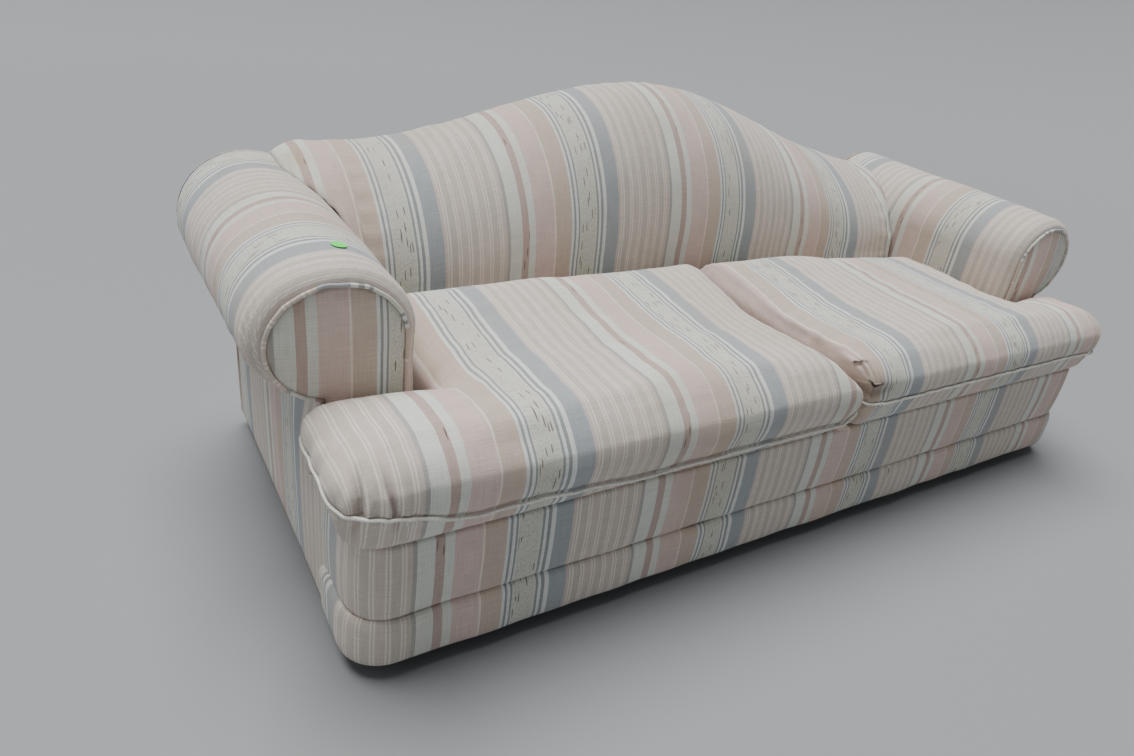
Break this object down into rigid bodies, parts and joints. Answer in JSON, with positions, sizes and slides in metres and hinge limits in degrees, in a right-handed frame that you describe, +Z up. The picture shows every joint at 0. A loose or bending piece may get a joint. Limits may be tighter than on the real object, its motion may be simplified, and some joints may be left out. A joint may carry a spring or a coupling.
{
  "type": "torn sofa",
  "caption": "Camelback sofa in striped woven cloth with rolled arms, a tight humped back and loose T-shaped seat cushions; worn, with a torn cushion seam.",
  "frame": {"origin": "on the floor, at the middle of the sofa's footprint", "axes": "+X along the length towards the sitter's left arm, which is the viewer's right, +Y towards the rear, +Z up"},
  "size_m": [2.263, 0.928, 0.84],
  "materials": {
    "striped_cloth": "woven, matt",
    "pale_welt": "covered cord",
    "beech_board": "sawn",
    "plywood": "sawn",
    "spring_steel": "drawn wire",
    "burlap": "coarse weave",
    "cotton_padding": "felted",
    "deck_cloth": "plain weave",
    "dust_cloth": "thin non-woven",
    "black_plastic": "moulded",
    "green_paper": "blank paper sticker"
  },
  "bodies": {
    "root": {"front_cover": "striped_cloth", "lower_band": "striped_cloth", "left_arm_cover": "striped_cloth", "right_arm_cover": "striped_cloth", "left_arm_front_panel": "striped_cloth", "right_arm_front_panel": "striped_cloth", "left_outside_arm_panel": "striped_cloth", "right_outside_arm_panel": "striped_cloth", "inside_back_cover": "striped_cloth", "outside_back_cover": "striped_cloth", "left_seat_cushion": "striped_cloth", "right_seat_cushion": "striped_cloth", "left_arm_front_welt": "pale_welt", "right_arm_front_welt": "pale_welt", "left_cushion_welt": "pale_welt", "right_cushion_welt": "pale_welt", "front_seat_rail": "beech_board", "rear_seat_rail": "beech_board", "left_side_rail": "beech_board", "right_side_rail": "beech_board", "centre_stretcher": "beech_board", "front_left_corner_block": "beech_board", "front_right_corner_block": "beech_board", "rear_left_corner_block": "beech_board", "rear_right_corner_block": "beech_board", "left_arm_front_post": "beech_board", "right_arm_front_post": "beech_board", "left_arm_rear_post": "beech_board", "right_arm_rear_post": "beech_board", "left_arm_top_rail": "beech_board", "right_arm_top_rail": "beech_board", "left_arm_tack_rail": "beech_board", "right_arm_tack_rail": "beech_board", "left_back_post": "beech_board", "right_back_post": "beech_board", "left_back_upright": "beech_board", "right_back_upright": "beech_board", "back_top_rail": "beech_board", "left_arm_front_board": "plywood", "right_arm_front_board": "plywood", "seat_spring_1": "spring_steel", "seat_spring_2": "spring_steel", "seat_spring_3": "spring_steel", "seat_spring_4": "spring_steel", "seat_spring_5": "spring_steel", "seat_spring_6": "spring_steel", "seat_burlap": "burlap", "back_burlap": "burlap", "deck_pad": "cotton_padding", "left_arm_pad": "cotton_padding", "right_arm_pad": "cotton_padding", "back_pad": "cotton_padding", "deck_cover": "deck_cloth", "dust_cover": "dust_cloth", "front_left_foot": "black_plastic", "front_right_foot": "black_plastic", "rear_left_foot": "black_plastic", "rear_right_foot": "black_plastic", "centre_foot": "black_plastic", "arm_sticker": "green_paper"}
  },
  "joints": []
}
